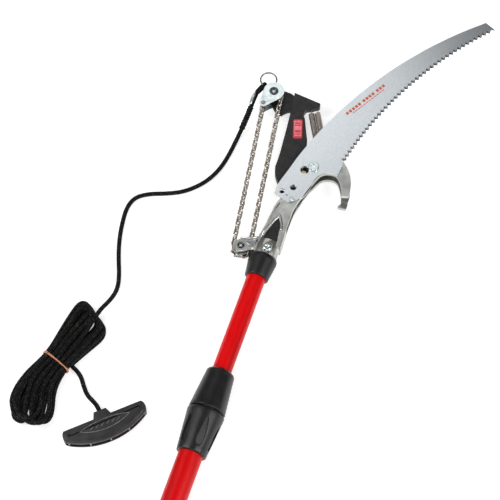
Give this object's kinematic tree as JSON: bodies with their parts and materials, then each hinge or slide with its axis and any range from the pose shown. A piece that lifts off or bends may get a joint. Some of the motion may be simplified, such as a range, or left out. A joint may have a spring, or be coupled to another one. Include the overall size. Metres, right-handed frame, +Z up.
{
  "type": "telescoping pole saw",
  "caption": "Telescoping twist-lock pole with a curved saw blade and a rope-pulled pruning hook worked by a lever, chain block, cord and T-handle.",
  "frame": {"origin": "middle of the object's box at the level of the surface it lies on, without the cord and what is on it", "axes": "+Y along the pole towards the saw, +X to the side that the hook and the saw's teeth face, +Z up from the surface, towards the side of the head that carries the saw plate"},
  "size_m": [0.491, 2.4724, 0.054],
  "materials": {
    "red_pole": "gloss",
    "black_rubber": "satin",
    "black_plastic": "satin",
    "white_plastic": "matte",
    "cast_metal": "cast",
    "zinc": "bright",
    "blade_steel": "ground",
    "spring_steel": "bright",
    "black_cord": "braided",
    "copper_band": "satin",
    "black_paint": "textured",
    "brass": "satin",
    "red_label": "gloss",
    "sheave_metal": "satin"
  },
  "bodies": {
    "outer_pole": {"outer_pole_tube": "red_pole", "butt_cap": "black_rubber", "collar_base": "black_plastic", "lock_collet": "white_plastic"},
    "collar": {"collar_nut": "black_plastic"},
    "head": {"inner_pole_tube": "red_pole", "inner_pole_guide": "black_plastic", "ferrule_boot": "black_rubber", "head_casting": "cast_metal", "socket_insert": "black_plastic", "socket_screw": "zinc", "pivot_bolt": "zinc", "blade_bolt_low": "zinc", "pivot_nut": "zinc", "spring_pins": "zinc", "bracket_rivet": "zinc", "saw_blade": "blade_steel", "return_spring_left": "spring_steel", "return_spring_right": "spring_steel", "chain_lower_wrap": "zinc", "pull_cord": "black_cord", "cord_hank": "black_cord", "hank_tie": "copper_band", "cord_tail": "black_cord", "t_handle": "black_plastic"},
    "lever": {"pull_lever": "black_paint", "pruning_blade": "blade_steel", "blade_rivets": "brass", "lever_label": "red_label", "chain_upper_wrap": "zinc", "rope_ring": "zinc", "rope_clip": "black_cord"},
    "block": {"block_plate_front": "zinc", "block_plate_back": "zinc", "block_rivet": "zinc", "chain_rivet": "zinc"},
    "upper_sheave": {"upper_sheave": "sheave_metal"},
    "lower_sheave": {"lower_sheave": "sheave_metal"},
    "chain": {"chain_left_fall": "zinc", "chain_right_fall": "zinc"}
  },
  "joints": [
    {"name": "pole_extend", "type": "slide", "parent": "outer_pole", "child": "head", "axis": [0, 1, 0], "range_m": [0, 1.24]},
    {"name": "collar_turn", "type": "hinge", "parent": "outer_pole", "child": "collar", "pos_m": [-0.0574, 0.53585, 0.027], "axis": [0, 1, 0], "range_deg": [0, 90]},
    {"name": "lever_pull", "type": "hinge", "parent": "head", "child": "lever", "pos_m": [-0.0324, 0.91085, 0.027], "axis": [0, 0, 1], "range_deg": [0, 72], "stiffness_Nm_per_rad": 2.5, "springref_deg": -45.84, "deforming": ["return_spring_left", "return_spring_right", "chain_left_fall", "chain_right_fall", "pull_cord"]},
    {"name": "block_swivel", "type": "hinge", "parent": "lever", "child": "block", "pos_m": [-0.1304, 1.01985, 0.027], "axis": [0, 0, 1], "range_deg": [-43, 0]},
    {"name": "chain_swing", "type": "hinge", "parent": "head", "child": "chain", "pos_m": [-0.0934, 0.75685, 0.027], "axis": [0, 0, 1], "range_deg": [0, 30]},
    {"name": "upper_sheave_spin", "type": "hinge", "parent": "block", "child": "upper_sheave", "pos_m": [-0.1304, 1.01985, 0.027], "axis": [0, 0, 1], "range_deg": [0, 1410]},
    {"name": "lower_sheave_spin", "type": "hinge", "parent": "head", "child": "lower_sheave", "pos_m": [-0.0934, 0.75685, 0.027], "axis": [0, 0, 1], "range_deg": [0, 710]}
  ],
  "couplings": [
    {"joint": "block_swivel", "follows": "lever_pull", "ratio": -0.588},
    {"joint": "chain_swing", "follows": "lever_pull", "ratio": 0.412},
    {"joint": "upper_sheave_spin", "follows": "lever_pull", "ratio": 19.4},
    {"joint": "lower_sheave_spin", "follows": "lever_pull", "ratio": 9.7}
  ]
}
